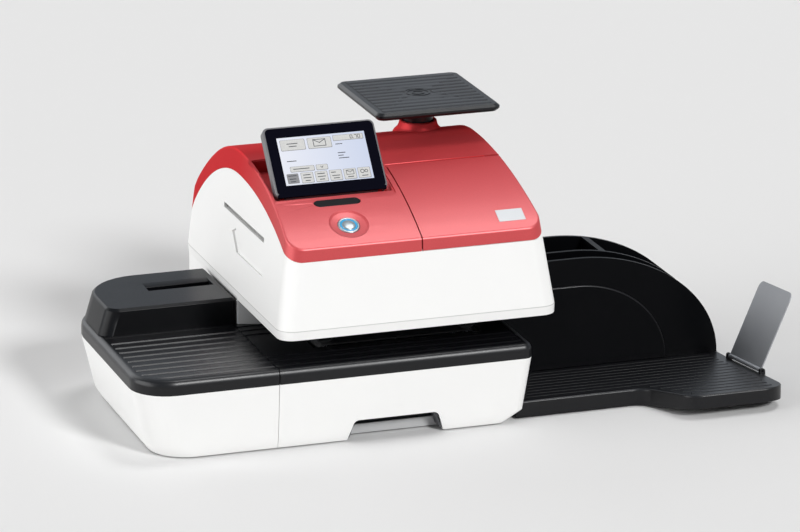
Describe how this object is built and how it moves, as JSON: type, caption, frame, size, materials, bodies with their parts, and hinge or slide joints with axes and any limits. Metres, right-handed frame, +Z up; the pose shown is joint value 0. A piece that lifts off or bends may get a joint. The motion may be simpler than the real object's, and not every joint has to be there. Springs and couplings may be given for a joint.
{
  "type": "postage meter",
  "caption": "Desktop postage meter with red arched hood, tilting touch display, weighing pan, feed deck and catch tray",
  "frame": {"origin": "on the floor, midway along the outline in X and Y", "axes": "+X the way the mail travels, left to right; +Y towards the back; +Z up"},
  "size_m": [0.7296, 0.425, 0.3038],
  "materials": {
    "white_shell": "fine moulded texture",
    "red_cover": "satin painted finish",
    "black_plastic": "fine moulded texture",
    "dark_grey_plastic": "smooth",
    "light_grey_plastic": "smooth",
    "bezel_gloss": "polished",
    "screen_glass": "lit panel",
    "silver_button": "satin",
    "blue_light": "translucent ring",
    "badge_metal": "brushed",
    "sheet_steel": "brushed sheet",
    "bright_steel": "ground",
    "rubber": "soft",
    "belt_rubber": "fabric-backed",
    "gear_plastic": "moulded",
    "brass": "machined",
    "board_green": "solder mask",
    "cartridge_blue": "moulded"
  },
  "bodies": {
    "machine": {"feed_housing": "white_shell", "feed_deck": "black_plastic", "strip_block": "black_plastic", "base_housing": "white_shell", "base_deck": "black_plastic", "bottom_pan": "light_grey_plastic", "grip_liner": "dark_grey_plastic", "rubber_feet": "rubber", "base_screws": "bright_steel", "rear_column": "white_shell", "mail_guide": "light_grey_plastic", "hood_shell": "white_shell", "hood_floor": "black_plastic", "strip_chute": "white_shell", "top_cover": "red_cover", "button_board": "board_green", "load_cell": "bright_steel", "load_cell_post": "dark_grey_plastic", "catch_tray": "black_plastic", "tray_wall": "black_plastic", "belt_frame": "sheet_steel", "transport_belt": "belt_rubber", "drive_motor": "bright_steel", "motor_bracket": "sheet_steel", "roller_hangers": "sheet_steel", "carriage_frame": "sheet_steel", "guide_rods": "bright_steel", "service_station": "dark_grey_plastic", "main_board": "board_green", "power_supply": "sheet_steel", "power_inlet": "black_plastic"},
    "display": {"display_housing": "dark_grey_plastic", "display_bezel": "bezel_gloss", "display_screen": "screen_glass", "display_hinge_pin": "bright_steel"},
    "lid": {"cartridge_lid": "red_cover", "lid_hinge_pin": "bright_steel", "badge_plate": "badge_metal"},
    "power_key": {"power_button": "silver_button", "button_light_ring": "blue_light"},
    "release": {"release_key": "black_plastic"},
    "pan": {"weigh_pan": "black_plastic", "pan_stem": "black_plastic"},
    "stop": {"stop_plate": "sheet_steel", "stop_hinge_pin": "bright_steel"},
    "drive": {"drive_roller": "bright_steel", "drive_gear": "gear_plastic"},
    "idler": {"idler_roller": "bright_steel"},
    "pinion": {"motor_pinion": "brass"},
    "entry_press": {"entry_pressure_roller": "rubber"},
    "exit_press": {"exit_pressure_roller": "rubber"},
    "carriage": {"print_carriage": "dark_grey_plastic", "ink_cartridges": "cartridge_blue"}
  },
  "joints": [
    {"name": "display_tilt", "type": "hinge", "parent": "machine", "child": "display", "pos_m": [-0.13031, -0.07205, 0.24363], "axis": [1, 0, 0], "range_deg": [-36, 15]},
    {"name": "lid_swing", "type": "hinge", "parent": "machine", "child": "lid", "pos_m": [0.00319, -0.0385, 0.24901], "axis": [-1, 0, 0], "range_deg": [0, 60]},
    {"name": "power_button_press", "type": "slide", "parent": "machine", "child": "power_key", "axis": [0, 0.4395, -0.8983], "range_m": [0, 0.0015], "stiffness_N_per_m": 900},
    {"name": "release_key_press", "type": "slide", "parent": "machine", "child": "release", "axis": [0, 0.3526, -0.9358], "range_m": [0, 0.0012], "stiffness_N_per_m": 900},
    {"name": "pan_settle", "type": "slide", "parent": "machine", "child": "pan", "axis": [0, 0, -1], "range_m": [0, 0.001], "stiffness_N_per_m": 50000},
    {"name": "stop_fold", "type": "hinge", "parent": "machine", "child": "stop", "pos_m": [0.32569, -0.09855, 0.0161], "axis": [0, 0.9932, -0.1167], "range_deg": [-115, 0]},
    {"name": "drive_roller_spin", "type": "hinge", "parent": "machine", "child": "drive", "pos_m": [0.00819, -0.0855, 0.07725], "axis": [0, 1, 0], "continuous": true},
    {"name": "idler_roller_spin", "type": "hinge", "parent": "machine", "child": "idler", "pos_m": [-0.14681, -0.0855, 0.07725], "axis": [0, 1, 0], "continuous": true},
    {"name": "motor_pinion_spin", "type": "hinge", "parent": "machine", "child": "pinion", "pos_m": [0.00819, 0.0035, 0.05275], "axis": [0, 1, 0], "continuous": true},
    {"name": "entry_pressure_spin", "type": "hinge", "parent": "machine", "child": "entry_press", "pos_m": [-0.14681, -0.0855, 0.1], "axis": [0, 1, 0], "continuous": true},
    {"name": "exit_pressure_spin", "type": "hinge", "parent": "machine", "child": "exit_press", "pos_m": [0.00819, -0.0855, 0.1], "axis": [0, 1, 0], "continuous": true},
    {"name": "carriage_travel", "type": "slide", "parent": "machine", "child": "carriage", "axis": [1, 0, 0], "range_m": [0, 0.034]}
  ],
  "couplings": [
    {"joint": "idler_roller_spin", "follows": "drive_roller_spin", "ratio": 1},
    {"joint": "motor_pinion_spin", "follows": "drive_roller_spin", "ratio": -2.5},
    {"joint": "entry_pressure_spin", "follows": "drive_roller_spin", "ratio": -1.0227},
    {"joint": "exit_pressure_spin", "follows": "drive_roller_spin", "ratio": -1.0227}
  ]
}
